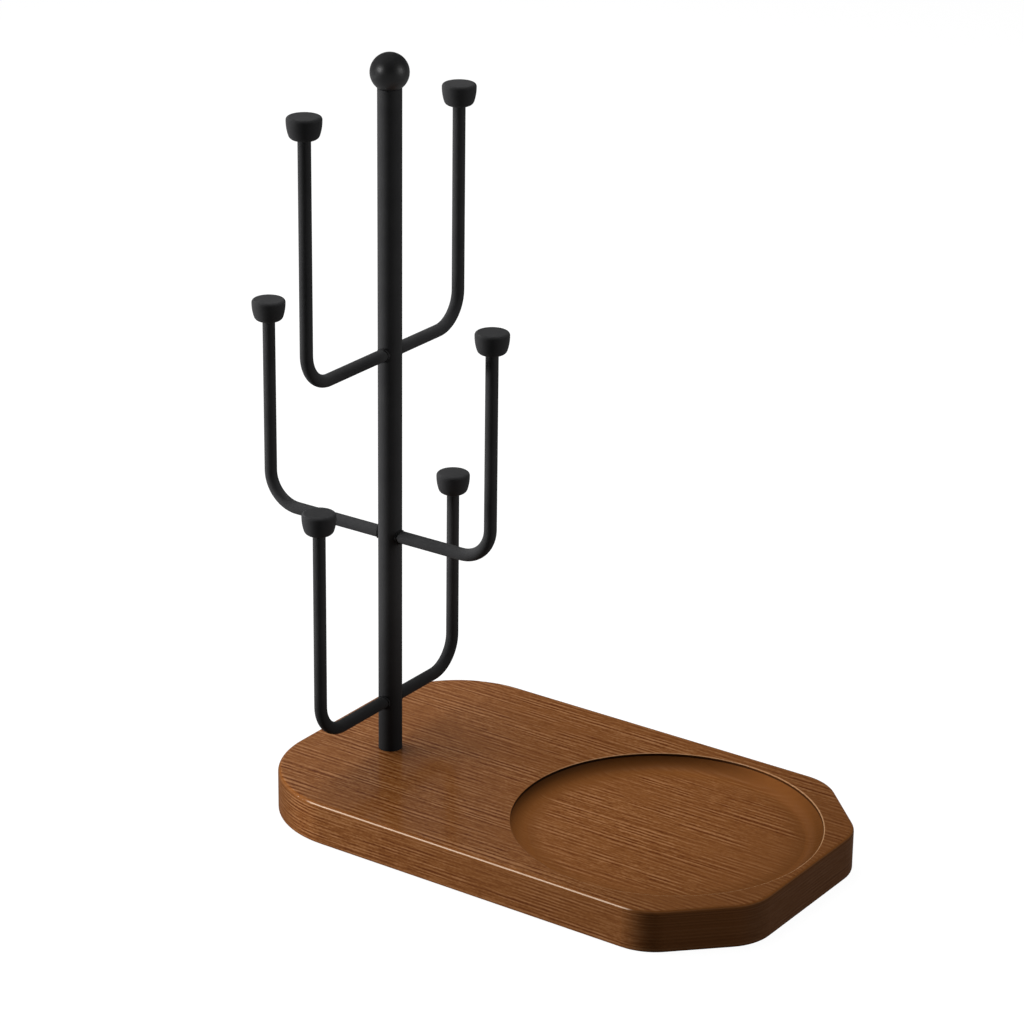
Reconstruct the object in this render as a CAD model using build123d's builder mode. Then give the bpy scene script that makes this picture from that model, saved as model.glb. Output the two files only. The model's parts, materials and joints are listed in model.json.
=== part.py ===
"""Mug tree: a stained hardwood board with a round recess, carrying a steel post and six bent arms."""

import os
from math import acos, cos, degrees, radians, sin, sqrt

from build123d import *

# All sizes are in millimetres. The origin is on the table, under the middle of the board,
# with +X towards the recess end, -Y towards the front and +Z up.

# Board
BOARD_LENGTH = 280.0
BOARD_THICKNESS = 21.7
POST_END_CORNER_RADIUS = 53.0
CLIPPED_CORNER = 39.0
CLIPPED_VERTEX_RADIUS = 27.0
TOP_EDGE_RADIUS = 2.0
BOTTOM_EDGE_RADIUS = 0.8

# Round recess in the board's top
RECESS_RADIUS = 76.0
RECESS_RIM_RADIUS = 0.5
RECESS_WALL = 1.0
RECESS_COVE_RADIUS = 10.0
RECESS_COVE_DEPTH = 5.0
RECESS_TO_END = 4.0
RECESS_TO_SIDE = 9.5

# Post: a steel tube let into the board
POST_DIAMETER = 12.0
POST_WALL = 1.5
POST_RISE = 344.4
POST_SEAT_FLOOR = 6.7
POST_EDGE_BREAK = 0.4
POST_FROM_END = 42.0
POST_FORWARD = 12.0

# Threaded plugs in the post's two ends
FOOT_PLUG_LENGTH = 16.0
TOP_PLUG_LENGTH = 14.0

# Ball finial and its stud
BALL_DIAMETER = 19.05
STUD_DIAMETER = 5.0
STUD_IN_BALL = 9.0
STUD_IN_PLUG = 10.0
STUD_END_ROOM = 1.5
STUD_CHAMFER = 0.6

# Arms: round rod, bent up at a right angle
ROD_DIAMETER = 6.35
BEND_RADIUS = 17.0
ROD_END_CHAMFER = 0.4
TENON_GAP = 0.5
UPPER_LEVEL = 212.0
UPPER_FRONT_REACH = 66.0
UPPER_FRONT_RISE = 130.3
UPPER_BACK_REACH = 56.7
UPPER_BACK_RISE = 119.0
MIDDLE_LEVEL = 116.5
MIDDLE_RIGHT_REACH = 60.4
MIDDLE_RIGHT_RISE = 115.3
MIDDLE_LEFT_REACH = 74.9
MIDDLE_LEFT_RISE = 104.7
LOWER_LEVEL = 27.0
LOWER_FRONT_REACH = 57.5
LOWER_FRONT_RISE = 116.5
LOWER_BACK_REACH = 53.5
LOWER_BACK_RISE = 102.5

# End caps: flat top, rounded shoulder, and below a short band a side that curves in to a rounded foot
CAP_RADIUS = 8.5
CAP_SHOULDER_ROUND = 1.6
CAP_BAND = 0.4
CAP_FOOT_RADIUS = 6.6
CAP_FOOT_ROUND = 3.0
CAP_CROWN = 3.0
CAP_SOCKET_DEPTH = 8.0

# Bolt and washer under the board
BOLT_DIAMETER = 6.0
BOLT_IN_PLUG = 12.0
BOLT_END_CHAMFER = 0.8
BOLT_HEAD_DIAMETER = 10.5
BOLT_HEAD_HEIGHT = 3.3
BOLT_HEAD_ROUND = 1.8
BOLT_KEY_ACROSS_FLATS = 4.0
BOLT_KEY_DEPTH = 2.0
WASHER_DIAMETER = 18.0
WASHER_THICKNESS = 1.6
BOLT_HEAD_SINK = 1.6

# Clearances, all on the radius
POST_CLEARANCE = 0.1
PLUG_CLEARANCE = 0.05
THREAD_CLEARANCE = 0.05
ROD_CLEARANCE = 0.05
CAP_CLEARANCE = 0.05
BOLT_HOLE_CLEARANCE = 0.3
WASHER_CLEARANCE = 1.0

# Heights, widths and places that follow from the sizes above
board_width = 2 * (RECESS_RADIUS + RECESS_TO_SIDE)
board_top = BOARD_THICKNESS
recess_x = BOARD_LENGTH / 2 - RECESS_TO_END - RECESS_RADIUS
recess_wall_foot = RECESS_RIM_RADIUS + RECESS_WALL
recess_depth = recess_wall_foot + RECESS_COVE_DEPTH
recess_cove_angle = degrees(acos(1 - RECESS_COVE_DEPTH / RECESS_COVE_RADIUS))
recess_floor_radius = RECESS_RADIUS - RECESS_COVE_RADIUS * sin(radians(recess_cove_angle))
bolt_seat = BOLT_HEAD_SINK + BOLT_HEAD_HEIGHT + WASHER_THICKNESS
bolt_hole_radius = BOLT_DIAMETER / 2 + BOLT_HOLE_CLEARANCE
bolt_bore_radius = BOLT_DIAMETER / 2 + THREAD_CLEARANCE
stud_bore_radius = STUD_DIAMETER / 2 + THREAD_CLEARANCE
post_x = -BOARD_LENGTH / 2 + POST_FROM_END
post_y = -POST_FORWARD
post_bottom = bolt_seat + POST_SEAT_FLOOR
post_top = board_top + POST_RISE
post_radius = POST_DIAMETER / 2
post_bore_radius = post_radius - POST_WALL
plug_radius = post_bore_radius - PLUG_CLEARANCE
rod_radius = ROD_DIAMETER / 2
cap_socket_radius = rod_radius + CAP_CLEARANCE
cap_height = CAP_CROWN + CAP_SOCKET_DEPTH

# Headings of the arms, in degrees about +Z from +X
RIGHT, BACK, LEFT, FRONT = 0.0, 90.0, 180.0, 270.0

# Each arm: name, height of its level above the board, heading, reach and rise of its rod
ARMS = [
    ("upper_front", UPPER_LEVEL, FRONT, UPPER_FRONT_REACH, UPPER_FRONT_RISE),
    ("upper_back", UPPER_LEVEL, BACK, UPPER_BACK_REACH, UPPER_BACK_RISE),
    ("middle_right", MIDDLE_LEVEL, RIGHT, MIDDLE_RIGHT_REACH, MIDDLE_RIGHT_RISE),
    ("middle_left", MIDDLE_LEVEL, LEFT, MIDDLE_LEFT_REACH, MIDDLE_LEFT_RISE),
    ("lower_front", LOWER_LEVEL, FRONT, LOWER_FRONT_REACH, LOWER_FRONT_RISE),
    ("lower_back", LOWER_LEVEL, BACK, LOWER_BACK_REACH, LOWER_BACK_RISE),
]

os.makedirs("parts", exist_ok=True)


def save(piece, name):
    """Label a finished piece and write it to its own file."""
    piece.label = name
    export_step(piece, f"parts/{name}.step")


def heading_vector(heading):
    """Return the level unit vector of a heading."""
    return Vector(cos(radians(heading)), sin(radians(heading)), 0)


def on_post(height):
    """Return the point on the post's axis at a height above the table."""
    return (post_x, post_y, height)


# Board: round corners beside the post, clipped corners beside the recess
half_length = BOARD_LENGTH / 2
half_width = board_width / 2
with BuildPart() as base_board:
    with BuildSketch(Plane.XY) as plan:
        with BuildLine():
            Polyline(
                (-half_length, -half_width),
                (half_length - CLIPPED_CORNER, -half_width),
                (half_length, -half_width + CLIPPED_CORNER),
                (half_length, half_width - CLIPPED_CORNER),
                (half_length - CLIPPED_CORNER, half_width),
                (-half_length, half_width),
                close=True,
            )
        make_face()
        fillet(plan.vertices().sort_by(Axis.X)[2:], CLIPPED_VERTEX_RADIUS)
        fillet(plan.vertices().group_by(Axis.X)[0], POST_END_CORNER_RADIUS)
    extrude(amount=BOARD_THICKNESS)
    fillet(base_board.faces().sort_by(Axis.Z)[-1].edges(), TOP_EDGE_RADIUS)
    fillet(base_board.faces().sort_by(Axis.Z)[0].edges(), BOTTOM_EDGE_RADIUS)
    # Recess turned out of the top: a rounded rim, a short wall and a wide cove down to the floor
    with BuildSketch(Plane((recess_x, 0, board_top), x_dir=(1, 0, 0), z_dir=(0, -1, 0))):
        with BuildLine():
            floor = Line((0, -recess_depth), (recess_floor_radius, -recess_depth))
            cove = CenterArc(
                (recess_floor_radius, RECESS_COVE_RADIUS - recess_depth),
                RECESS_COVE_RADIUS,
                start_angle=270,
                arc_size=recess_cove_angle,
            )
            Polyline(cove @ 1, (RECESS_RADIUS, 0), (0, 0), floor @ 0)
        make_face()
    revolve(axis=Axis((recess_x, 0, 0), (0, 0, 1)), mode=Mode.SUBTRACT)
    fillet(
        base_board.faces().filter_by(Axis.Z).sort_by(Axis.Z)[-1].inner_wires()[0].edges(),
        RECESS_RIM_RADIUS,
    )
    # Blind seat for the post, and the bolt's hole and counterbore from below
    with BuildSketch(Plane.XY.offset(board_top)):
        with Locations((post_x, post_y)):
            Circle(post_radius + POST_CLEARANCE)
    extrude(amount=post_bottom - board_top, mode=Mode.SUBTRACT)
    with BuildSketch(Plane.XY):
        with Locations((post_x, post_y)):
            Circle(bolt_hole_radius)
    extrude(amount=BOARD_THICKNESS, mode=Mode.SUBTRACT)
    with BuildSketch(Plane.XY):
        with Locations((post_x, post_y)):
            Circle(WASHER_DIAMETER / 2 + WASHER_CLEARANCE)
    extrude(amount=bolt_seat, mode=Mode.SUBTRACT)
save(base_board.part, "base_board")

# Post: a tube with one cross hole at each level of arms
with BuildPart() as post_tube:
    with BuildSketch(Plane.XY.offset(post_bottom)):
        with Locations((post_x, post_y)):
            Circle(post_radius)
            Circle(post_bore_radius, mode=Mode.SUBTRACT)
    extrude(amount=post_top - post_bottom)
    outer_rings = post_tube.edges().filter_by(GeomType.CIRCLE).sort_by(SortBy.RADIUS)[-2:]
    chamfer(outer_rings, POST_EDGE_BREAK)
    for level, heading in ((UPPER_LEVEL, BACK), (MIDDLE_LEVEL, RIGHT), (LOWER_LEVEL, BACK)):
        with BuildSketch(Plane(on_post(board_top + level), z_dir=heading_vector(heading))):
            Circle(rod_radius + ROD_CLEARANCE)
        extrude(amount=POST_DIAMETER, both=True, mode=Mode.SUBTRACT)
save(post_tube.part, "post_tube")

# Threaded plugs, flush with the ends of the post
with BuildPart() as post_foot_plug:
    with BuildSketch(Plane.XY.offset(post_bottom)):
        with Locations((post_x, post_y)):
            Circle(plug_radius)
            Circle(bolt_bore_radius, mode=Mode.SUBTRACT)
    extrude(amount=FOOT_PLUG_LENGTH)
save(post_foot_plug.part, "post_foot_plug")

with BuildPart() as post_top_plug:
    with BuildSketch(Plane.XY.offset(post_top)):
        with Locations((post_x, post_y)):
            Circle(plug_radius)
            Circle(stud_bore_radius, mode=Mode.SUBTRACT)
    extrude(amount=-TOP_PLUG_LENGTH)
save(post_top_plug.part, "post_top_plug")

# Ball finial: its flat is as wide as the post that it sits on
ball_radius = BALL_DIAMETER / 2
ball_centre = post_top + sqrt(ball_radius**2 - post_radius**2)
with BuildPart() as ball_finial:
    with Locations(on_post(ball_centre)):
        Sphere(ball_radius)
    split(bisect_by=Plane.XY.offset(post_top), keep=Keep.TOP)
    with BuildSketch(Plane.XY.offset(post_top)):
        with Locations((post_x, post_y)):
            Circle(stud_bore_radius)
    extrude(amount=STUD_IN_BALL + STUD_END_ROOM, mode=Mode.SUBTRACT)
save(ball_finial.part, "ball_finial")

with BuildPart() as finial_stud:
    with BuildSketch(Plane.XY.offset(post_top - STUD_IN_PLUG)):
        with Locations((post_x, post_y)):
            Circle(STUD_DIAMETER / 2)
    extrude(amount=STUD_IN_PLUG + STUD_IN_BALL)
    chamfer(finial_stud.edges().filter_by(GeomType.CIRCLE), STUD_CHAMFER)
save(finial_stud.part, "finial_stud")

# Arms and their end caps
for name, level, heading, reach, rise in ARMS:
    outward = heading_vector(heading)
    root = Vector(on_post(board_top + level))
    hook_plane = Plane(root, x_dir=outward, z_dir=outward.cross(Vector(0, 0, 1)))
    with BuildPart() as arm:
        with BuildLine(hook_plane) as path:
            FilletPolyline((TENON_GAP / 2, 0), (reach, 0), (reach, rise), radius=BEND_RADIUS)
        with BuildSketch(Plane(path.line @ 0, z_dir=path.line % 0)):
            Circle(rod_radius)
        sweep()
        chamfer(arm.faces().filter_by(GeomType.PLANE).edges(), ROD_END_CHAMFER)
    save(arm.part, f"arm_{name}")

    rod_end = root + outward * reach + Vector(0, 0, rise)
    cap_top = rod_end + Vector(0, 0, CAP_CROWN)
    with BuildPart() as cap:
        with BuildSketch(Plane(cap_top, x_dir=(1, 0, 0), z_dir=(0, -1, 0))):
            with BuildLine():
                band = Line((CAP_RADIUS, 0), (CAP_RADIUS, -CAP_SHOULDER_ROUND - CAP_BAND))
                side = TangentArc(band @ 1, (CAP_FOOT_RADIUS, -cap_height), tangent=band % 1)
                Polyline(
                    side @ 1,
                    (cap_socket_radius, -cap_height),
                    (cap_socket_radius, -CAP_CROWN),
                    (0, -CAP_CROWN),
                    (0, 0),
                    band @ 0,
                )
            make_face()
        revolve(axis=Axis(cap_top, (0, 0, 1)))
        fillet(cap.edges().filter_by(GeomType.CIRCLE).group_by(Axis.Z)[-1], CAP_SHOULDER_ROUND)
        foot_rings = cap.edges().filter_by(GeomType.CIRCLE).group_by(Axis.Z)[0]
        fillet(foot_rings.sort_by(SortBy.RADIUS)[-1], CAP_FOOT_ROUND)
    save(cap.part, f"cap_{name}")

# Bolt: round head with a hexagon key socket, screwed up into the foot plug
bolt_head_top = bolt_seat - WASHER_THICKNESS
with BuildPart() as base_bolt:
    with BuildSketch(Plane.XY.offset(bolt_head_top)):
        with Locations((post_x, post_y)):
            Circle(BOLT_HEAD_DIAMETER / 2)
    extrude(amount=-BOLT_HEAD_HEIGHT)
    fillet(base_bolt.edges().filter_by(GeomType.CIRCLE).sort_by(Axis.Z)[0], BOLT_HEAD_ROUND)
    with BuildSketch(Plane.XY.offset(bolt_head_top)):
        with Locations((post_x, post_y)):
            Circle(BOLT_DIAMETER / 2)
    extrude(amount=post_bottom + BOLT_IN_PLUG - bolt_head_top)
    chamfer(base_bolt.edges().filter_by(GeomType.CIRCLE).sort_by(Axis.Z)[-1], BOLT_END_CHAMFER)
    with BuildSketch(Plane.XY.offset(bolt_head_top - BOLT_HEAD_HEIGHT)):
        with Locations((post_x, post_y)):
            RegularPolygon(BOLT_KEY_ACROSS_FLATS / 2, 6, major_radius=False)
    extrude(amount=BOLT_KEY_DEPTH, mode=Mode.SUBTRACT)
save(base_bolt.part, "base_bolt")

with BuildPart() as base_washer:
    with BuildSketch(Plane.XY.offset(bolt_seat)):
        with Locations((post_x, post_y)):
            Circle(WASHER_DIAMETER / 2)
            Circle(bolt_hole_radius, mode=Mode.SUBTRACT)
    extrude(amount=-WASHER_THICKNESS)
save(base_washer.part, "base_washer")
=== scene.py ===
"""Mug tree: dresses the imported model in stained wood, black coat and moulded caps, and lights it in a studio."""

import json
import logging
import math
from collections.abc import Mapping, Sequence
from dataclasses import dataclass
from enum import Enum
from typing import ClassVar

import bmesh
import bpy
from mathutils import Matrix, Vector


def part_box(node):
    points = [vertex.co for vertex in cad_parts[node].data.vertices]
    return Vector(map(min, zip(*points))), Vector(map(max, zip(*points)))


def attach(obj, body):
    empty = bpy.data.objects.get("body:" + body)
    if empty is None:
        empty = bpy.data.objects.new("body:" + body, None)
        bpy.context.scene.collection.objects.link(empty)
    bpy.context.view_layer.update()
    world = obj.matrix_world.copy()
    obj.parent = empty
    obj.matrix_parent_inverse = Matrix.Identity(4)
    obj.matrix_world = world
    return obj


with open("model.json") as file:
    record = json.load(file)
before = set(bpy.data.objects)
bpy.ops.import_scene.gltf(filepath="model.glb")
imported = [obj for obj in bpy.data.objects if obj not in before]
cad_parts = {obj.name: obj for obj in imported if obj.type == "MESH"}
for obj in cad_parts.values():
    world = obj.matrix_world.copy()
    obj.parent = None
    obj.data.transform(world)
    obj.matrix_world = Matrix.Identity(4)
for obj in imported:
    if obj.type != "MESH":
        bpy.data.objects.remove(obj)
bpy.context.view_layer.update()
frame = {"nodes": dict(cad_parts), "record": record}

MM = 0.001
QUARTER_TURN = math.pi / 2
UP = Vector((0.0, 0.0, 1.0))
BODY = "root"
LOG = logging.getLogger("mug_tree")

Socket = bpy.types.NodeSocket
Value = Socket | float | Sequence[float]
Colour = tuple[float, float, float, float]
Triple = tuple[float, float, float]
Limits = tuple[float, float]

BLACK: Colour = (0.0, 0.0, 0.0, 1.0)
WHITE: Colour = (1.0, 1.0, 1.0, 1.0)


class Slot(Enum):
    """The record's material slots."""

    BOARD = "walnut_board"
    COAT = "black_coat"
    BALL = "black_ball"
    CAP = "black_cap"
    ZINC = "zinc_steel"


class Side(Enum):
    """Where an arm points from the post, as a level unit vector."""

    RIGHT = (1.0, 0.0, 0.0)
    LEFT = (-1.0, 0.0, 0.0)
    FRONT = (0.0, -1.0, 0.0)
    BACK = (0.0, 1.0, 0.0)


def grey(level: float) -> Colour:
    """Return an even grey."""
    return (level, level, level, 1.0)


def board_top() -> float:
    """Return the height of the board's top."""
    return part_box("base_board")[1].z


@dataclass
class Wiring:
    """Places nodes in one node tree and joins their sockets."""

    tree: bpy.types.NodeTree

    def node(self, kind: str, inputs: Mapping[str | int, Value] | None = None, **settings: object) -> bpy.types.Node:
        """Add a node.

        Args:
            kind: The node's type name.
            inputs: Values or sockets for its inputs, by name or place.
            settings: Properties of the node itself.

        Returns:
            The new node.
        """
        made = self.tree.nodes.new(kind)
        for name, value in settings.items():
            setattr(made, name, value)
        self.feed(made, inputs or {})
        return made

    def feed(self, node: bpy.types.Node, inputs: Mapping[str | int, Value]) -> None:
        """Join sockets to a node's inputs, or set plain values on them.

        Args:
            node: The node.
            inputs: Values or sockets for its inputs, by name or place.
        """
        for key, value in inputs.items():
            if isinstance(value, bpy.types.NodeSocket):
                self.tree.links.new(value, node.inputs[key])
            else:
                node.inputs[key].default_value = value

    def group(self, tree: bpy.types.NodeTree, inputs: Mapping[str, Value]) -> bpy.types.Node:
        """Place a shared node group with its own values."""
        return self.node("ShaderNodeGroup", inputs, node_tree=tree)

    def coords(self) -> Socket:
        """Return the object's own coordinates."""
        return self.node("ShaderNodeTexCoord").outputs["Object"]

    def normal(self) -> Socket:
        """Return the surface's normal."""
        return self.node("ShaderNodeNewGeometry").outputs["Normal"]

    def split(self, vector: Value) -> tuple[Socket, ...]:
        """Return the three parts of a vector."""
        return tuple(self.node("ShaderNodeSeparateXYZ", {0: vector}).outputs)

    def scaled(self, vector: Value, scale: Triple) -> Socket:
        """Return a vector scaled on each axis."""
        return self.node("ShaderNodeMapping", {"Vector": vector, "Scale": scale}).outputs[0]

    def dot(self, vector: Value, direction: Triple) -> Socket:
        """Return how far a vector reaches in a direction."""
        made = self.node("ShaderNodeVectorMath", {0: vector, 1: direction}, operation="DOT_PRODUCT")
        return made.outputs["Value"]

    def math(self, operation: str, first: Value, second: Value = 0.0) -> Socket:
        """Return the result of a sum on two values."""
        return self.node("ShaderNodeMath", {0: first, 1: second}, operation=operation).outputs[0]

    def product(self, first: Value, *others: Value) -> Socket:
        """Return the product of several values.

        Args:
            first: The first value.
            others: What it is multiplied by, in turn.

        Returns:
            The product.
        """
        result = first
        for other in others:
            result = self.math("MULTIPLY", result, other)
        return result

    def rest(self, share: Value) -> Socket:
        """Return what a share leaves of 1."""
        return self.math("SUBTRACT", 1.0, share)

    def noise(self, vector: Value, scale: Value = 1.0, detail: float = 2.0) -> Socket:
        """Return smooth noise from 0 to 1 over a vector."""
        made = self.node("ShaderNodeTexNoise", {"Vector": vector, "Scale": scale, "Detail": detail})
        return made.outputs[0]

    def ease(self, value: Value, low: Value, high: Value, start: float = 0.0, end: float = 1.0) -> Socket:
        """Return a value eased from start to end between two limits.

        Args:
            value: The value to map.
            low: Where the result leaves start.
            high: Where the result reaches end.
            start: The result below low.
            end: The result above high.

        Returns:
            The eased result.
        """
        made = self.node(
            "ShaderNodeMapRange",
            {"Value": value, "From Min": low, "From Max": high, "To Min": start, "To Max": end},
            interpolation_type="SMOOTHSTEP",
        )
        return made.outputs[0]

    def fall(self, value: Value, low: Value, high: Value) -> Socket:
        """Return a value eased from 1 down to 0 between two limits."""
        return self.ease(value, low, high, 1.0, 0.0)

    def mix(self, factor: Value, first: Value, second: Value, blend: str = "MIX") -> Socket:
        """Return the mix of two colours."""
        made = self.node("ShaderNodeMix", {0: factor, 6: first, 7: second}, data_type="RGBA", blend_type=blend)
        return made.outputs[2]

    def ramp(self, value: Value, stops: Sequence[tuple[float, Colour]]) -> Socket:
        """Return the colour of a value on a ramp.

        Args:
            value: The place on the ramp, from 0 to 1.
            stops: Places and their colours, in order.

        Returns:
            The colour.
        """
        made = self.node("ShaderNodeValToRGB", {0: value})
        elements = made.color_ramp.elements
        while len(elements) < len(stops):
            elements.new(1.0)
        for element, (place, colour) in zip(elements, stops):
            element.position = place
            element.color = colour
        return made.outputs[0]

    def bump(self, height: Socket, depth: float, strength: float) -> Socket:
        """Return the surface's normal with a fine relief on it."""
        return self.node("ShaderNodeBump", {"Strength": strength, "Distance": depth, "Height": height}).outputs[0]


@dataclass
class SharedEffects:
    """The shader node groups that several finishes use."""

    streaks: bpy.types.NodeTree
    mottle: bpy.types.NodeTree
    dust: bpy.types.NodeTree

    STREAK_DETAIL: ClassVar[float] = 0.6
    PATCH_LIMITS: ClassVar[Limits] = (0.3, 0.7)
    DUST_SETTLES: ClassVar[Limits] = (0.55, 0.98)
    DUST_SCALE: ClassVar[float] = 420.0
    DUST_LIMITS: ClassVar[Limits] = (0.35, 0.75)

    @classmethod
    def build(cls) -> "SharedEffects":
        """Make each group once."""
        return cls(cls._streaks(), cls._mottle(), cls._dust())

    @staticmethod
    def _start(
        name: str, vectors: Sequence[str], floats: Sequence[str], outputs: Sequence[str]
    ) -> tuple[Wiring, bpy.types.Node, bpy.types.Node]:
        """Start a group with named sockets.

        Args:
            name: The group's name.
            vectors: Names of its vector inputs.
            floats: Names of its number inputs.
            outputs: Names of its number outputs.

        Returns:
            The wiring of the group, its input node and its output node.
        """
        tree = bpy.data.node_groups.new(name, "ShaderNodeTree")
        for kind, names in (("NodeSocketVector", vectors), ("NodeSocketFloat", floats)):
            for socket in names:
                tree.interface.new_socket(socket, in_out="INPUT", socket_type=kind)
        for socket in outputs:
            tree.interface.new_socket(socket, in_out="OUTPUT", socket_type="NodeSocketFloat")
        wiring = Wiring(tree)
        return wiring, wiring.node("NodeGroupInput"), wiring.node("NodeGroupOutput")

    @classmethod
    def _streaks(cls) -> bpy.types.NodeTree:
        """Make streaks, sized on each axis in features per metre: wood fibres, pores and turning lines.

        Returns:
            The group.
        """
        wiring, given, result = cls._start("streaks", ("Vector", "Size"), ("Low", "High"), ("Mask",))
        ends = {0: given.outputs["Vector"], 1: given.outputs["Size"]}
        stretched = wiring.node("ShaderNodeVectorMath", ends, operation="MULTIPLY").outputs[0]
        grain = wiring.noise(stretched, detail=cls.STREAK_DETAIL)
        wiring.feed(result, {"Mask": wiring.ease(grain, given.outputs["Low"], given.outputs["High"])})
        return wiring.tree

    @classmethod
    def _mottle(cls) -> bpy.types.NodeTree:
        """Make a fine surface grain and broad patches: powder coat, moulded plastic and plating.

        Returns:
            The group.
        """
        wiring, given, result = cls._start("mottle", ("Vector",), ("Grain", "Patch"), ("Height", "Patches"))
        fine = wiring.noise(given.outputs["Vector"], given.outputs["Grain"])
        broad = wiring.noise(given.outputs["Vector"], given.outputs["Patch"])
        wiring.feed(result, {"Height": fine, "Patches": wiring.ease(broad, *cls.PATCH_LIMITS)})
        return wiring.tree

    @classmethod
    def _dust(cls) -> bpy.types.NodeTree:
        """Make a thin veil of dust on what faces up.

        Returns:
            The group.
        """
        wiring, given, result = cls._start("dust", ("Vector", "Normal"), ("Amount",), ("Mask",))
        lying = wiring.ease(wiring.split(given.outputs["Normal"])[2], *cls.DUST_SETTLES)
        specks = wiring.ease(wiring.noise(given.outputs["Vector"], cls.DUST_SCALE), *cls.DUST_LIMITS)
        wiring.feed(result, {"Mask": wiring.product(lying, specks, given.outputs["Amount"])})
        return wiring.tree


def new_material(name: str) -> tuple[bpy.types.Material, Wiring, bpy.types.Node]:
    """Start a material.

    Args:
        name: The material's name.

    Returns:
        The material, its wiring and its Principled shader.
    """
    material = bpy.data.materials.new(name)
    material.use_nodes = True
    return material, Wiring(material.node_tree), material.node_tree.nodes["Principled BSDF"]


@dataclass(frozen=True)
class GrainLayer:
    """One layer of streaks in the wood.

    The size counts features per metre on each axis. The balance is taken off the mask, so that the layer swings the
    tone both ways by its weight. The relief is its height in the surface.
    """

    size: Triple
    limits: Limits
    shift: float
    weight: float = 0.0
    balance: float = 0.5
    relief: float = 0.0

    def mask(self, wiring: Wiring, effects: SharedEffects, coords: Socket) -> Socket:
        """Return the layer's mask.

        Args:
            wiring: The material's wiring.
            effects: The shared node groups.
            coords: The wood's coordinates.

        Returns:
            The mask, from 0 to 1.
        """
        low, high = self.limits
        moved = wiring.node("ShaderNodeVectorMath", {0: coords, 1: (self.shift,) * 3}, operation="ADD").outputs[0]
        values = {"Vector": moved, "Size": self.size, "Low": low, "High": high}
        return wiring.group(effects.streaks, values).outputs["Mask"]

    def swing(self, wiring: Wiring, mask: Socket) -> Socket:
        """Return how far the layer swings the tone."""
        return wiring.product(wiring.math("SUBTRACT", mask, self.balance), self.weight)


@dataclass(frozen=True)
class RingLines:
    """The fine lines of the year rings, dark and pale in turn, straight along the board and fading in and out."""

    period: float = 3.0 * MM
    side_period: float = 1.75 * MM
    drift_size: Triple = (2.5, 140.0, 210.0)
    drift: float = 1.5
    fade_size: Triple = (26.0, 130.0, 240.0)
    fade_limits: Limits = (0.36, 0.66)
    faintest: float = 0.1
    detail: float = 1.0
    weight: float = 0.45

    def tone(self, wiring: Wiring, coords: Socket) -> Socket:
        """Return the lines' tone.

        Args:
            wiring: The material's wiring.
            coords: The wood's coordinates.

        Returns:
            The tone, on both sides of 0.
        """
        _, across, height = wiring.split(coords)
        turns = wiring.math("ADD", wiring.math("DIVIDE", across, self.period),
                            wiring.math("DIVIDE", height, self.side_period))
        drift = wiring.product(wiring.noise(wiring.scaled(coords, self.drift_size), detail=self.detail), self.drift)
        wave = wiring.math("SINE", wiring.product(wiring.math("ADD", turns, drift), math.tau))
        patches = wiring.noise(wiring.scaled(coords, self.fade_size), detail=self.detail)
        return wiring.product(wave, wiring.ease(patches, *self.fade_limits, self.faintest), self.weight)


@dataclass(frozen=True)
class BoardSurface:
    """What the wood's nodes read off the board.

    These are the three parts of its normal, how far it faces the board's ends, the mask of the faces that lie, the
    grain's coordinates and the place along the grain.
    """

    x: Socket
    y: Socket
    z: Socket
    endways: Socket
    lying: Socket
    grain: Socket
    along: Socket

    LYING_LIMITS: ClassVar[Limits] = (0.12, 0.4)

    @classmethod
    def read(cls, wiring: Wiring) -> "BoardSurface":
        """Read the surface.

        The grain's coordinates run along it, across it on the faces that lie, and down from the board's top on the
        faces that stand. There the lines go on round the corners.

        Args:
            wiring: The material's wiring.

        Returns:
            The surface.
        """
        x, y, z = wiring.split(wiring.normal())
        place = wiring.split(wiring.coords())
        lying = wiring.ease(wiring.math("ABSOLUTE", z), *cls.LYING_LIMITS)
        standing = wiring.rest(lying)
        along = wiring.math("SUBTRACT", place[0], wiring.product(place[1], standing))
        across = wiring.product(place[1], lying)
        height = wiring.product(wiring.math("SUBTRACT", place[2], board_top()), standing)
        grain = wiring.node("ShaderNodeCombineXYZ", {0: along, 1: across, 2: height}).outputs[0]
        return cls(x, y, z, wiring.math("ABSOLUTE", x), lying, grain, along)


@dataclass(frozen=True)
class RecessSide:
    """One side of the recess: its direction from the middle, and how far out it starts and is full, in radii."""

    direction: Triple
    limits: Limits

    def mask(self, wiring: Wiring, place: Socket, radius: float) -> Socket:
        """Return the side's mask over places measured from the middle."""
        low, high = (limit * radius for limit in self.limits)
        return wiring.ease(wiring.dot(place, self.direction), low, high)


@dataclass(frozen=True)
class RecessMasks:
    """Where the recess's floor, its cove, the wall above it, the lip round it and its two uneven sides lie."""

    floor: Socket
    cove: Socket
    wall: Socket
    lip: Socket
    shaded: Socket
    lit: Socket


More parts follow.
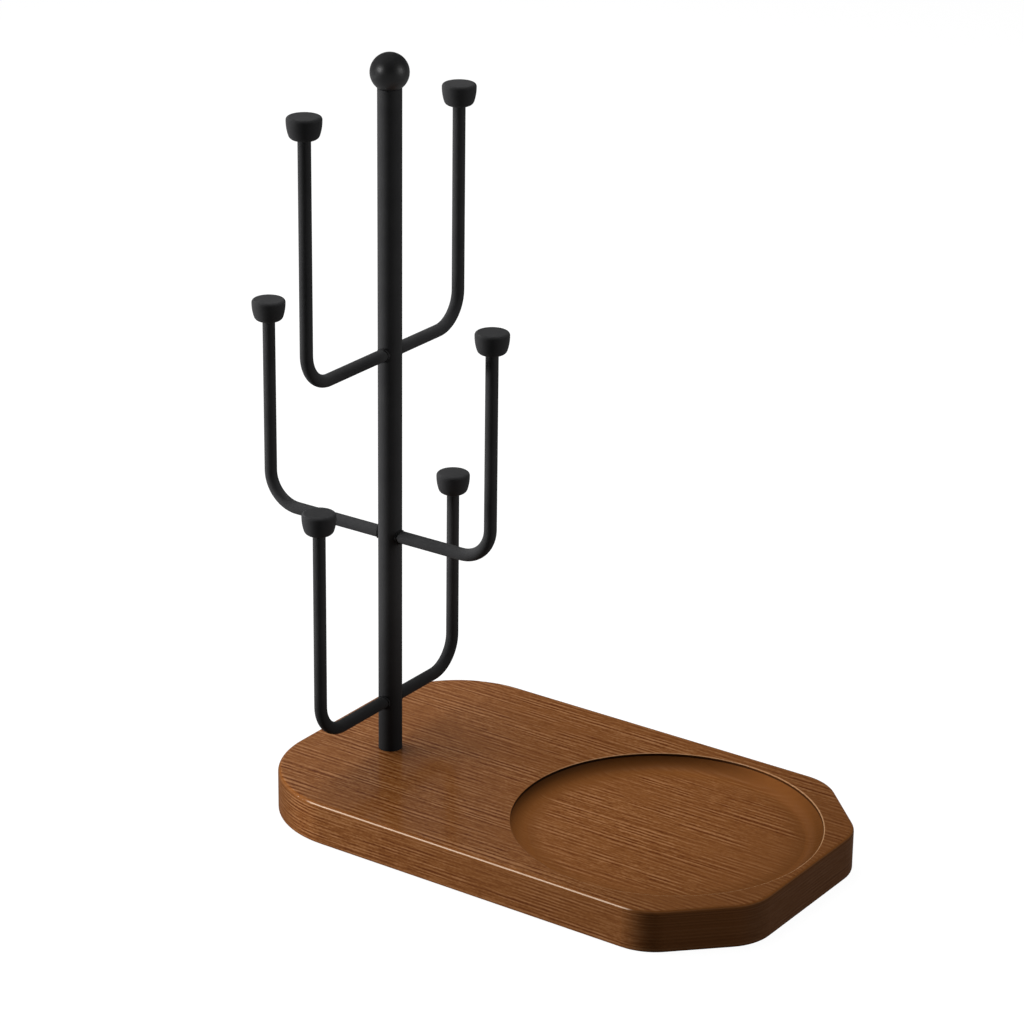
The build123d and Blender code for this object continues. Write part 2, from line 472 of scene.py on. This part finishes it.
@dataclass(frozen=True)
class RecessShading:
    """Painted light and shade in the recess, and where the parts lie.

    Each factor multiplies the colour. A part's limits are distances out from the wall, in metres.
    """

    # Painted light on the floor and the lit side; painted shade in the cove, on the wall and on the shaded side.
    floor: float = 1.2
    cove: float = 0.97
    shaded: float = 0.50
    lit: float = 1.25
    wall: float = 0.25
    mount: str = "saucer_recess"
    flat: Triple = (1.0, 1.0, 0.0)
    inside_ends: Limits = (0.0, 0.1 * MM)
    floor_ends: Limits = (-18.0 * MM, -8.4 * MM)
    cove_starts: Limits = (-19.2 * MM, -4.8 * MM)
    shade_starts: Limits = (-7.44 * MM, 0.0)
    lip_starts: Limits = (0.0, 0.15 * MM)
    lip_ends: Limits = (0.45 * MM, 0.7 * MM)
    wall_tilt: Limits = (0.2, 0.48)
    shaded_side: RecessSide = RecessSide((-0.90, 0.43, 0.0), (0.2, 0.95))
    lit_side: RecessSide = RecessSide((0.10, 0.99, 0.0), (0.5, 0.95))
    # The lip's painted highlight fades out on this side.
    dull_side: RecessSide = RecessSide((-0.75, -0.66, 0.0), (0.4, 0.85))
    dulled: float = 0.9

    def masks(self, wiring: Wiring, upward: Socket) -> RecessMasks:
        """Mark the parts of the recess, on the board's upper half only.

        Args:
            wiring: The material's wiring.
            upward: How far the surface faces up.

        Returns:
            The masks.
        """
        mount = next(mount for mount in frame["record"]["mounts"] if mount["name"] == self.mount)
        x, y, _ = mount["pos_m"]
        radius = mount["dims"]["r_mm"] * MM
        coords = wiring.coords()
        moved = {"Vector": coords, "Location": (-x, -y, 0.0), "Scale": self.flat}
        place = wiring.node("ShaderNodeMapping", moved).outputs[0]
        length = wiring.node("ShaderNodeVectorMath", {0: place}, operation="LENGTH").outputs["Value"]
        out = wiring.math("SUBTRACT", length, radius)
        half_way = board_top() / 2
        above = wiring.ease(wiring.split(coords)[2], half_way, half_way + MM)
        inside = wiring.product(wiring.fall(out, *self.inside_ends), above)
        cove = wiring.product(wiring.ease(out, *self.cove_starts), inside)
        # The lip's painted highlight is kept off the dull side.
        kept = wiring.rest(wiring.product(self.dull_side.mask(wiring, place, radius), self.dulled))
        lip = wiring.product(wiring.ease(out, *self.lip_starts), wiring.fall(out, *self.lip_ends), kept, above)
        near_wall = wiring.product(wiring.ease(out, *self.shade_starts), inside)
        return RecessMasks(
            floor=wiring.product(wiring.fall(out, *self.floor_ends), above),
            cove=cove,
            wall=wiring.product(wiring.fall(upward, *self.wall_tilt), cove),
            lip=lip,
            shaded=wiring.product(self.shaded_side.mask(wiring, place, radius), near_wall),
            lit=wiring.product(self.lit_side.mask(wiring, place, radius), cove),
        )


@dataclass(frozen=True)
class WalnutFinish:
    """Straight-grained wood with a walnut stain, under a satin varnish that lies on what faces up.

    Limits on faces are parts of the surface's normal, and limits on sides are places along the grain, in metres.
    """

    deep: Colour = (0.094, 0.0225, 0.0034, 1.0)
    middle: Colour = (0.188, 0.0665, 0.0165, 1.0)
    pale: Colour = (0.312, 0.1420, 0.0560, 1.0)
    middle_tone: float = 0.5
    end_grain: Colour = (0.42, 0.46, 0.60, 1.0)
    end_limits: Limits = (0.55, 1.0)
    # Painted sheen: a grey added on the faces that stand.
    painted_side_sheen: Colour = (0.006, 0.006, 0.006, 1.0)

    rings: RingLines = RingLines()
    specks: GrainLayer = GrainLayer((130.0, 1150.0, 1500.0), (0.25, 0.75), 0.53, 0.36, relief=0.4)
    flecks: GrainLayer = GrainLayer((520.0, 1350.0, 1600.0), (0.30, 0.70), 4.3, 0.24)
    bands: GrainLayer = GrainLayer((3.0, 70.0, 90.0), (0.3, 0.7), 0.31, 0.05)
    dark_lines: GrainLayer = GrainLayer((6.0, 720.0, 950.0), (0.62, 0.74), 1.3, -0.26, balance=0.08, relief=-0.5)
    pale_lines: GrainLayer = GrainLayer((5.0, 720.0, 950.0), (0.64, 0.76), 2.1, 0.30, balance=0.08)
    pores: GrainLayer = GrainLayer((120.0, 1500.0, 1900.0), (0.62, 0.74), 3.7, -0.15, balance=0.08, relief=-1.0)
    relief_depth: float = 0.2 * MM
    relief_strength: float = 0.25

    # How lively the grain is: in patches everywhere, and calmer on some faces.
    patches: GrainLayer = GrainLayer((6.0, 36.0, 48.0), (0.36, 0.64), 0.77)
    patch_range: Limits = (0.7, 1.15)
    end_calms: Limits = (0.2, 0.7)
    end_grain_left: float = 0.4
    cove_grain_left: float = 0.2
    side_grain_left: float = 0.95
    far_calms: Limits = (0.07, 0.13)
    far_grain_lost: float = 0.55
    rounding_tilt: float = 0.5
    rounding_limits: Limits = (0.36, 0.48)
    rounding_grain_left: float = 0.2

    # Painted light and shade: places made lighter or darker to stand for how light falls. Each factor multiplies the
    # colour.
    recess: RecessShading = RecessShading()
    # Painted shade on the faces that face the post's end of the board.
    post_end: float = 0.52
    post_end_limits: Limits = (-0.6, -0.05)
    # Painted light on the top near the post's end.
    post_side: float = 1.09
    post_side_limits: Limits = (-0.13, -0.05)
    # Painted shade on the top, darker towards the recess's end.
    recess_side: float = 0.79
    recess_side_limits: Limits = (0.02, 0.15)

    # Painted highlights: a pale line along the front upper edge and round the recess's lip, with faint wear on the
    # other upper edges.
    highlight_and_wear_tone: Colour = (0.86, 0.64, 0.47, 1.0)
    edge_wear: float = 0.02
    front_highlight: float = 0.70
    rounding_band_starts: Limits = (0.38, 0.5)
    rounding_band_ends: Limits = (0.62, 0.76)
    front_limits: Limits = (-0.7, -0.4)
    front_straight: Limits = (0.01, 0.2)
    cove_without_highlight: Limits = (0.0, 0.2)
    lip_highlight_tone: Colour = (0.80, 0.50, 0.27, 1.0)
    lip_highlight: float = 0.26

    roughness: float = 0.51
    speck_gloss: float = -0.1
    specular: float = 0.012
    varnish: float = 0.9
    varnish_tilt: Limits = (0.80, 0.97)
    varnish_roughness: float = 0.17
    varnish_ior: float = 1.5
    bare_cove: float = 0.7

    def material(self, effects: SharedEffects) -> bpy.types.Material:
        """Build the wood.

        Args:
            effects: The shared node groups.

        Returns:
            The material.
        """
        material, wiring, shader = new_material("walnut_stain")
        face = BoardSurface.read(wiring)
        recess = self.recess.masks(wiring, face.z)
        layers = (self.specks, self.flecks, self.bands, self.dark_lines, self.pale_lines, self.pores)
        masks = {layer: layer.mask(wiring, effects, face.grain) for layer in layers}
        patches = self.patches.mask(wiring, effects, face.grain)
        lively = self._liveliness(wiring, patches, face, recess)
        colour = self._grain_colour(wiring, masks, lively, face)
        colour = self._painted_shading(wiring, colour, face, recess)
        wiring.feed(shader, {
            "Base Color": self._painted_highlights(wiring, colour, face, recess),
            "Roughness": wiring.math("ADD", wiring.product(masks[self.specks], self.speck_gloss), self.roughness),
            "Specular IOR Level": self.specular,
            "Coat Weight": self._varnish_cover(wiring, face, recess),
            "Coat Roughness": self.varnish_roughness,
            "Coat IOR": self.varnish_ior,
            "Normal": self._relief(wiring, masks),
        })
        return material

    def _liveliness(self, wiring: Wiring, patches: Socket, face: BoardSurface, recess: RecessMasks) -> Socket:
        """Return how strongly the grain shows.

        Args:
            wiring: The material's wiring.
            patches: The mask of the lively patches.
            face: The board's surface.
            recess: The parts of the recess.

        Returns:
            The factor on the grain's tone.
        """
        far = wiring.product(wiring.ease(face.along, *self.far_calms, 0.0, self.far_grain_lost), face.lying)
        off_rounding = wiring.math("ABSOLUTE", wiring.math("SUBTRACT", face.z, self.rounding_tilt))
        return wiring.product(
            wiring.ease(patches, 0.0, 1.0, *self.patch_range),
            wiring.ease(face.endways, *self.end_calms, 1.0, self.end_grain_left),
            wiring.ease(recess.cove, 0.0, 1.0, 1.0, self.cove_grain_left),
            wiring.ease(face.lying, 0.0, 1.0, self.side_grain_left, 1.0),
            wiring.rest(far),
            wiring.ease(off_rounding, *self.rounding_limits, self.rounding_grain_left, 1.0),
        )

    def _grain_colour(
        self, wiring: Wiring, masks: Mapping[GrainLayer, Socket], lively: Socket, face: BoardSurface
    ) -> Socket:
        """Return the colour of the grain, darker across the ends, with a painted grey sheen added on the faces that
        stand.

        Args:
            wiring: The material's wiring.
            masks: The grain's layers and their masks.
            lively: How strongly the grain shows.
            face: The board's surface.

        Returns:
            The colour.
        """
        rings = wiring.product(self.rings.tone(wiring, face.grain), lively)
        tone = wiring.math("ADD", rings, self.middle_tone)
        for layer, mask in masks.items():
            tone = wiring.math("ADD", wiring.product(layer.swing(wiring, mask), lively), tone)
        colour = wiring.ramp(tone, ((0.0, self.deep), (self.middle_tone, self.middle), (1.0, self.pale)))
        colour = wiring.mix(wiring.ease(face.endways, *self.end_limits), colour, self.end_grain, "MULTIPLY")
        return wiring.mix(wiring.rest(face.lying), colour, self.painted_side_sheen, "ADD")

    def _painted_shading(self, wiring: Wiring, colour: Socket, face: BoardSurface, recess: RecessMasks) -> Socket:
        """Return the colour with painted light and shade, lighter and darker places that stand for how light falls.

        Args:
            wiring: The material's wiring.
            colour: The grain's colour.
            face: The board's surface.
            recess: The parts of the recess.

        Returns:
            The colour with painted light and shade.
        """
        shading_factors = (
            (recess.floor, self.recess.floor),
            (recess.cove, self.recess.cove),
            (recess.shaded, self.recess.shaded),
            (recess.lit, self.recess.lit),
            (recess.wall, self.recess.wall),
            (wiring.fall(face.x, *self.post_end_limits), self.post_end),
            (wiring.product(wiring.fall(face.along, *self.post_side_limits), face.lying), self.post_side),
            (wiring.product(wiring.ease(face.along, *self.recess_side_limits), face.lying), self.recess_side),
        )
        for mask, depth in shading_factors:
            colour = wiring.mix(mask, colour, grey(depth), "MULTIPLY")
        return colour

    def _painted_highlights(self, wiring: Wiring, colour: Socket, face: BoardSurface, recess: RecessMasks) -> Socket:
        """Return the colour with painted highlights along the front upper edge and on the recess's lip, and faint wear
        on the other upper edges.

        Args:
            wiring: The material's wiring.
            colour: The colour with painted light and shade.
            face: The board's surface.
            recess: The parts of the recess.

        Returns:
            The colour with the painted highlights.
        """
        rounding = wiring.product(wiring.ease(face.z, *self.rounding_band_starts), wiring.fall(face.z, *self.rounding_band_ends))
        front = wiring.product(wiring.fall(face.y, *self.front_limits), wiring.fall(face.endways, *self.front_straight))
        highlight_and_wear = wiring.product(
            rounding,
            wiring.ease(front, 0.0, 1.0, self.edge_wear, self.front_highlight),
            wiring.fall(recess.cove, *self.cove_without_highlight),
        )
        # Painted highlight on the lip, then the painted highlight along the front edge, with faint wear on the other
        # edges.
        colour = wiring.mix(wiring.product(recess.lip, self.lip_highlight), colour, self.lip_highlight_tone)
        return wiring.mix(highlight_and_wear, colour, self.highlight_and_wear_tone)

    def _varnish_cover(self, wiring: Wiring, face: BoardSurface, recess: RecessMasks) -> Socket:
        """Return how far the varnish covers the wood: on flat tops, and thinly in the cove.

        Args:
            wiring: The material's wiring.
            face: The board's surface.
            recess: The parts of the recess.

        Returns:
            The cover, from 0 to 1.
        """
        bare = wiring.math("MAXIMUM", wiring.product(recess.cove, self.bare_cove),
                           wiring.math("MAXIMUM", recess.wall, recess.shaded))
        return wiring.product(wiring.ease(face.z, *self.varnish_tilt, 0.0, self.varnish), wiring.rest(bare))

    def _relief(self, wiring: Wiring, masks: Mapping[GrainLayer, Socket]) -> Socket:
        """Return the normal with the grain's fine relief.

        Args:
            wiring: The material's wiring.
            masks: The grain's layers and their masks.

        Returns:
            The normal.
        """
        height = 0.0
        for layer, mask in masks.items():
            if layer.relief:
                height = wiring.math("ADD", wiring.product(mask, layer.relief), height)
        return wiring.bump(height, self.relief_depth, self.relief_strength)


@dataclass(frozen=True)
class BlackFinish:
    """A black surface with a fine skin: powder coat or moulded plastic.

    The foot is painted shade: the share of its colour that is left where it meets the board, darker towards the board.
    """

    name: str
    tone: Colour
    patch_tone: Colour
    roughness: float
    specular: float
    grain: float
    grain_depth: float
    dust: float
    foot: float = 1.0
    foot_height: float = 90.0 * MM
    patch: float = 60.0
    patch_swing: float = 0.04
    grain_strength: float = 0.2
    dust_tone: Colour = (0.16, 0.155, 0.15, 1.0)
    dust_roughness: float = 0.3

    def material(self, effects: SharedEffects) -> bpy.types.Material:
        """Build the black skin.

        Args:
            effects: The shared node groups.

        Returns:
            The material.
        """
        material, wiring, shader = new_material(self.name)
        coords = wiring.coords()
        skin = wiring.group(effects.mottle, {"Vector": coords, "Grain": self.grain, "Patch": self.patch}).outputs
        settled = {"Vector": coords, "Normal": wiring.normal(), "Amount": self.dust}
        veil = wiring.group(effects.dust, settled).outputs["Mask"]
        colour = wiring.mix(veil, wiring.mix(skin["Patches"], self.tone, self.patch_tone), self.dust_tone)
        top = board_top()
        # Painted shade: the colour darkens towards the board.
        foot_shade = wiring.ease(wiring.split(coords)[2], top, top + self.foot_height, 1.0 - self.foot, 0.0)
        swing = (self.roughness - self.patch_swing, self.roughness + self.patch_swing)
        rough = wiring.ease(skin["Patches"], 0.0, 1.0, *swing)
        wiring.feed(shader, {
            "Base Color": wiring.mix(foot_shade, colour, BLACK),
            "Roughness": wiring.math("ADD", rough, wiring.product(veil, self.dust_roughness)),
            "Specular IOR Level": self.specular,
            "Normal": wiring.bump(skin["Height"], self.grain_depth, self.grain_strength),
        })
        return material


@dataclass(frozen=True)
class ZincFinish:
    """Bright zinc plating with faint turning lines."""

    tone: Colour = (0.60, 0.60, 0.58, 1.0)
    patch_tone: Colour = (0.50, 0.51, 0.50, 1.0)
    roughness: Limits = (0.25, 0.38)
    grain: float = 2400.0
    grain_depth: float = 0.03 * MM
    grain_strength: float = 0.15
    patch: float = 380.0
    line_size: Triple = (300.0, 5200.0, 5200.0)
    line_limits: Limits = (0.3, 0.7)

    def material(self, effects: SharedEffects) -> bpy.types.Material:
        """Build the plating.

        Args:
            effects: The shared node groups.

        Returns:
            The material.
        """
        material, wiring, shader = new_material("zinc_plate")
        coords = wiring.coords()
        low, high = self.line_limits
        turned = {"Vector": coords, "Size": self.line_size, "Low": low, "High": high}
        lines = wiring.group(effects.streaks, turned).outputs["Mask"]
        skin = wiring.group(effects.mottle, {"Vector": coords, "Grain": self.grain, "Patch": self.patch}).outputs
        wiring.feed(shader, {
            "Base Color": wiring.mix(skin["Patches"], self.tone, self.patch_tone),
            "Roughness": wiring.ease(lines, 0.0, 1.0, *self.roughness),
            "Metallic": 1.0,
            "Normal": wiring.bump(skin["Height"], self.grain_depth, self.grain_strength),
        })
        return material


FINISHES: Mapping[Slot, WalnutFinish | BlackFinish | ZincFinish] = {
    Slot.BOARD: WalnutFinish(),
    Slot.COAT: BlackFinish(
        "powder_coat", (0.036, 0.036, 0.037, 1.0), (0.041, 0.041, 0.042, 1.0),
        roughness=0.5, specular=0.01, grain=1500.0, grain_depth=0.06 * MM, dust=0.05, foot=0.38,
    ),
    Slot.BALL: BlackFinish(
        "satin_ball", (0.011, 0.011, 0.0115, 1.0), (0.013, 0.013, 0.0135, 1.0),
        roughness=0.41, specular=0.55, grain=2600.0, grain_depth=0.008 * MM, dust=0.0,
    ),
    Slot.CAP: BlackFinish(
        "moulded_cap", (0.030, 0.030, 0.031, 1.0), (0.035, 0.035, 0.036, 1.0),
        roughness=0.5, specular=0.03, grain=3000.0, grain_depth=0.05 * MM, dust=0.03,
    ),
    Slot.ZINC: ZincFinish(),
}


@dataclass
class Palette:
    """Every finish on the object, one material for each slot."""

    materials: dict[Slot, bpy.types.Material]

    @classmethod
    def build(cls) -> "Palette":
        """Make all the materials."""
        effects = SharedEffects.build()
        return cls({slot: finish.material(effects) for slot, finish in FINISHES.items()})

    def dress(self, node: str, slot: Slot) -> None:
        """Give a CAD node its finish.

        Args:
            node: The node's name.
            slot: The slot whose material it takes.
        """
        for place in frame["nodes"][node].material_slots:
            place.material = self.materials[slot]
        LOG.info("%s dressed as %s", node, slot.value)


def add_piece(name: str, shape: bmesh.types.BMesh, material: bpy.types.Material) -> bpy.types.Object:
    """Turn a finished shape into an object at the origin.

    Args:
        name: The piece's name.
        shape: Its shape, which is freed.
        material: Its material.

    Returns:
        The new object.
    """
    mesh = bpy.data.meshes.new(name)
    shape.to_mesh(mesh)
    shape.free()
    mesh.materials.append(material)
    for polygon in mesh.polygons:
        polygon.use_smooth = True
    piece = bpy.data.objects.new(name, mesh)
    bpy.context.scene.collection.objects.link(piece)
    return piece


@dataclass
class Board:
    """The board with its recess."""

    node: str = "base_board"

    def build(self, palette: Palette) -> None:
        """Dress the board."""
        palette.dress(self.node, Slot.BOARD)


@dataclass
class Post:
    """The post, its plugs and its ball."""

    tube: str = "post_tube"
    ball: str = "ball_finial"
    hidden: tuple[str, ...] = ("post_foot_plug", "post_top_plug", "finial_stud")

    def axis(self) -> Vector:
        """Return the point where the post's axis meets the table."""
        low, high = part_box(self.tube)
        return ((low + high) / 2).xy.to_3d()

    def radius(self) -> float:
        """Return the post's outer radius."""
        low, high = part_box(self.tube)
        return (high.x - low.x) / 2

    def build(self, palette: Palette) -> None:
        """Dress the post and what closes it.

        Args:
            palette: The finishes.
        """
        palette.dress(self.tube, Slot.COAT)
        palette.dress(self.ball, Slot.BALL)
        for node in self.hidden:
            palette.dress(node, Slot.ZINC)


@dataclass
class HookArm:
    """One bent arm, its end cap and the coated braze fillet at its root."""

    name: str
    side: Side
    rod_radius: float = 3.175 * MM
    fillet: float = 0.5 * MM
    sunk: float = 0.4 * MM
    fillet_steps: int = 6
    turn_steps: int = 64
    weld: float = 0.0001 * MM

    def build(self, palette: Palette, post: Post) -> None:
        """Dress the arm and its cap, and add the fillet.

        Args:
            palette: The finishes.
            post: The post that carries the arm.
        """
        palette.dress(f"arm_{self.name}", Slot.COAT)
        palette.dress(f"cap_{self.name}", Slot.CAP)
        ring = add_piece(f"braze_{self.name}", self._fillet_shape(post), palette.materials[Slot.COAT])
        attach(ring, BODY)
        LOG.info("%s added", ring.name)

    def _fillet_shape(self, post: Post) -> bmesh.types.BMesh:
        """Make the hollow fillet between the rod and the post.

        Args:
            post: The post that the fillet lies on.

        Returns:
            The closed ring, in place.
        """
        outward = Vector(self.side.value)
        across = UP.cross(outward)
        root = post.axis() + UP * (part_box(f"arm_{self.name}")[0].z + self.rod_radius)
        face = post.radius()

        def place(along: float, away: float) -> Vector:
            """Return a point beside the rod's axis, above it."""
            return root + outward * along + UP * away

        shape = bmesh.new()
        centre = place(face + self.fillet, self.rod_radius + self.fillet)
        first = shape.verts.new(place(face + self.fillet, self.rod_radius))
        bmesh.ops.spin(shape, geom=[first], cent=centre, axis=across, angle=-QUARTER_TURN, steps=self.fillet_steps)
        shape.verts.ensure_lookup_table()
        arc = sorted(shape.verts, key=lambda vert: (vert.co - root).dot(outward))
        inner = [shape.verts.new(place(face - self.sunk, self.rod_radius + self.fillet)),
                 shape.verts.new(place(face - self.sunk, self.rod_radius - self.sunk)),
                 shape.verts.new(place(face + self.fillet, self.rod_radius - self.sunk))]
        for pair in ((arc[0], inner[0]), (inner[0], inner[1]), (inner[1], inner[2]), (inner[2], arc[-1])):
            shape.edges.new(pair)
        bmesh.ops.spin(shape, geom=list(shape.edges), cent=root, axis=outward, angle=math.tau,
                       steps=self.turn_steps, use_merge=True)
        bmesh.ops.remove_doubles(shape, verts=list(shape.verts), dist=self.weld)
        # The ring is bent to lie on the round post.
        for vert in shape.verts:
            sideways = (vert.co - root).dot(across)
            vert.co -= outward * (face - math.sqrt(max(face**2 - sideways**2, 0.0)))
        bmesh.ops.recalc_face_normals(shape, faces=list(shape.faces))
        return shape


@dataclass
class Fixings:
    """The bolt and washer under the board."""

    nodes: tuple[str, ...] = ("base_bolt", "base_washer")

    def build(self, palette: Palette) -> None:
        """Dress the bolt and washer."""
        for node in self.nodes:
            palette.dress(node, Slot.ZINC)


@dataclass(frozen=True)
class SoftBox:
    """One soft light, aimed at the object and hidden from the camera.

    A mirrored light shows in glossy surfaces, and a spread light falls on dull ones.
    """

    name: str
    direction: Triple
    distance: float
    width: float
    height: float
    power: float
    mirrored: bool = True
    spread: bool = True

    def build(self, target: Vector) -> None:
        """Hang the light.

        Args:
            target: The point that it is aimed at.
        """
        lamp = bpy.data.lights.new(self.name, "AREA")
        lamp.shape = "RECTANGLE"
        lamp.size = self.width
        lamp.size_y = self.height
        lamp.energy = self.power
        holder = bpy.data.objects.new(self.name, lamp)
        holder.visible_camera = False
        holder.visible_glossy = self.mirrored
        holder.visible_diffuse = self.spread
        towards = Vector(self.direction).normalized()
        turn = (-towards).to_track_quat("-Z", "Y").to_matrix().to_4x4()
        holder.matrix_world = Matrix.Translation(target + towards * self.distance) @ turn
        bpy.context.scene.collection.objects.link(holder)


@dataclass
class Studio:
    """A white sweep just under the board, soft boxes round it and dim room light."""

    floor_radius: float = 8.0
    sweep_radius: float = 0.5
    wall_height: float = 1.1
    drop: float = 0.05 * MM
    curve_steps: int = 8
    turn_steps: int = 96
    weld: float = 0.01 * MM
    paper_white: float = 0.96
    paper_mirrored: float = 0.2
    paper_bounce: float = 0.10
    room_light: float = 0.04
    target: Triple = (-0.02, 0.0, 0.12)
    lights: tuple[SoftBox, ...] = (
        SoftBox("key_left", (-0.88, -0.46, -0.02), 1.6, 0.9, 0.16, 46.5, mirrored=False),
        SoftBox("top_soft", (-0.50, 0.10, 0.86), 1.2, 1.5, 1.5, 26.0, mirrored=False),
        SoftBox("fill_right", (0.913, 0.407, 0.12), 1.6, 0.7, 0.7, 12.0, mirrored=False),
        SoftBox("back_panel", (-0.68, 0.66, 0.42), 2.2, 0.8, 1.0, 0.25),
        SoftBox("glint_front", (-0.44, -0.79, 0.43), 1.8, 0.5, 0.5, 9.0, spread=False),
        SoftBox("glint_right", (0.89, 0.24, 0.38), 1.8, 0.5, 0.5, 6.0, spread=False),
    )

    def build(self) -> None:
        """Set up the sweep, the lights and the room."""
        sweep = add_piece("studio_sweep", self._sweep_shape(), self._paper())
        for light in self.lights:
            light.build(Vector(self.target))
        world = bpy.data.worlds.new("room")
        world.use_nodes = True
        room = Wiring(world.node_tree)
        room.feed(room.tree.nodes["Background"], {"Color": WHITE, "Strength": self.room_light})
        bpy.context.scene.world = world

    def _sweep_shape(self) -> bmesh.types.BMesh:
        """Make a round floor that curves up into a low wall.

        Returns:
            The sweep's shape.
        """
        shape = bmesh.new()
        edge = self.floor_radius - self.sweep_radius
        middle = shape.verts.new((0.0, 0.0, -self.drop))
        foot = shape.verts.new((edge, 0.0, -self.drop))
        shape.edges.new((middle, foot))
        curve = bmesh.ops.spin(shape, geom=[foot], cent=(edge, 0.0, self.sweep_radius - self.drop),
                               axis=(0.0, 1.0, 0.0), angle=-QUARTER_TURN, steps=self.curve_steps)
        top = next(part for part in curve["geom_last"] if isinstance(part, bmesh.types.BMVert))
        rim = bmesh.ops.extrude_vert_indiv(shape, verts=[top])["verts"]
        bmesh.ops.translate(shape, verts=rim, vec=UP * (self.wall_height - self.sweep_radius))
        bmesh.ops.spin(shape, geom=list(shape.edges), cent=(0.0, 0.0, 0.0), axis=UP, angle=math.tau,
                       steps=self.turn_steps, use_merge=True)
        bmesh.ops.remove_doubles(shape, verts=list(shape.verts), dist=self.weld)
        bmesh.ops.recalc_face_normals(shape, faces=list(shape.faces))
        return shape

    def _paper(self) -> bpy.types.Material:
        """Make the white paper, which shows white to the eye, dimly in reflections, and keeps the shadow.

        Returns:
            The material.
        """
        material = bpy.data.materials.new("white_paper")
        material.use_nodes = True
        material.cycles.emission_sampling = "NONE"
        wiring = Wiring(material.node_tree)
        wiring.tree.nodes.clear()
        path = wiring.node("ShaderNodeLightPath").outputs
        seen = wiring.math("MAXIMUM", path["Is Camera Ray"], path["Is Transmission Ray"])
        mirrored = wiring.product(path["Is Glossy Ray"], self.paper_mirrored)
        white = wiring.math("MAXIMUM", wiring.product(seen, self.paper_white), mirrored)
        glow = wiring.node("ShaderNodeEmission", {"Strength": white})
        bounce = wiring.node("ShaderNodeBsdfDiffuse", {"Color": grey(self.paper_bounce)})
        both = wiring.node("ShaderNodeAddShader", {0: glow.outputs[0], 1: bounce.outputs[0]})
        wiring.node("ShaderNodeOutputMaterial", {"Surface": both.outputs[0]})
        return material


@dataclass(frozen=True)
class Viewpoint:
    """The camera, at the photograph's angle, with its place in metres and its angles in degrees."""

    place: Triple = (0.8892, -1.3454, 0.8205)
    azimuth: float = 36.347
    elevation: float = 22.007
    lens: float = 127.32
    sensor: float = 36.0
    shift: float = 0.1094

    def build(self) -> None:
        """Set up the camera."""
        lens = bpy.data.cameras.new("camera")
        lens.sensor_width = self.sensor
        lens.lens = self.lens
        lens.shift_x = self.shift
        turn, tilt = math.radians(self.azimuth), math.radians(self.elevation)
        ahead = Vector((-math.sin(turn) * math.cos(tilt), math.cos(turn) * math.cos(tilt), -math.sin(tilt)))
        camera = bpy.data.objects.new("camera", lens)
        camera.matrix_world = Matrix.Translation(self.place) @ ahead.to_track_quat("-Z", "Y").to_matrix().to_4x4()
        bpy.context.scene.collection.objects.link(camera)
        bpy.context.scene.camera = camera


ARMS = (
    HookArm("upper_front", Side.FRONT),
    HookArm("upper_back", Side.BACK),
    HookArm("middle_right", Side.RIGHT),
    HookArm("middle_left", Side.LEFT),
    HookArm("lower_front", Side.FRONT),
    HookArm("lower_back", Side.BACK),
)


def main() -> None:
    """Build the classes in order."""
    logging.basicConfig(level=logging.INFO, format="%(message)s")
    bpy.context.scene.view_settings.view_transform = "Standard"
    palette = Palette.build()
    post = Post()
    Board().build(palette)
    post.build(palette)
    for arm in ARMS:
        arm.build(palette, post)
    Fixings().build(palette)
    Studio().build()
    Viewpoint().build()


if __name__ == "__main__":
    main()
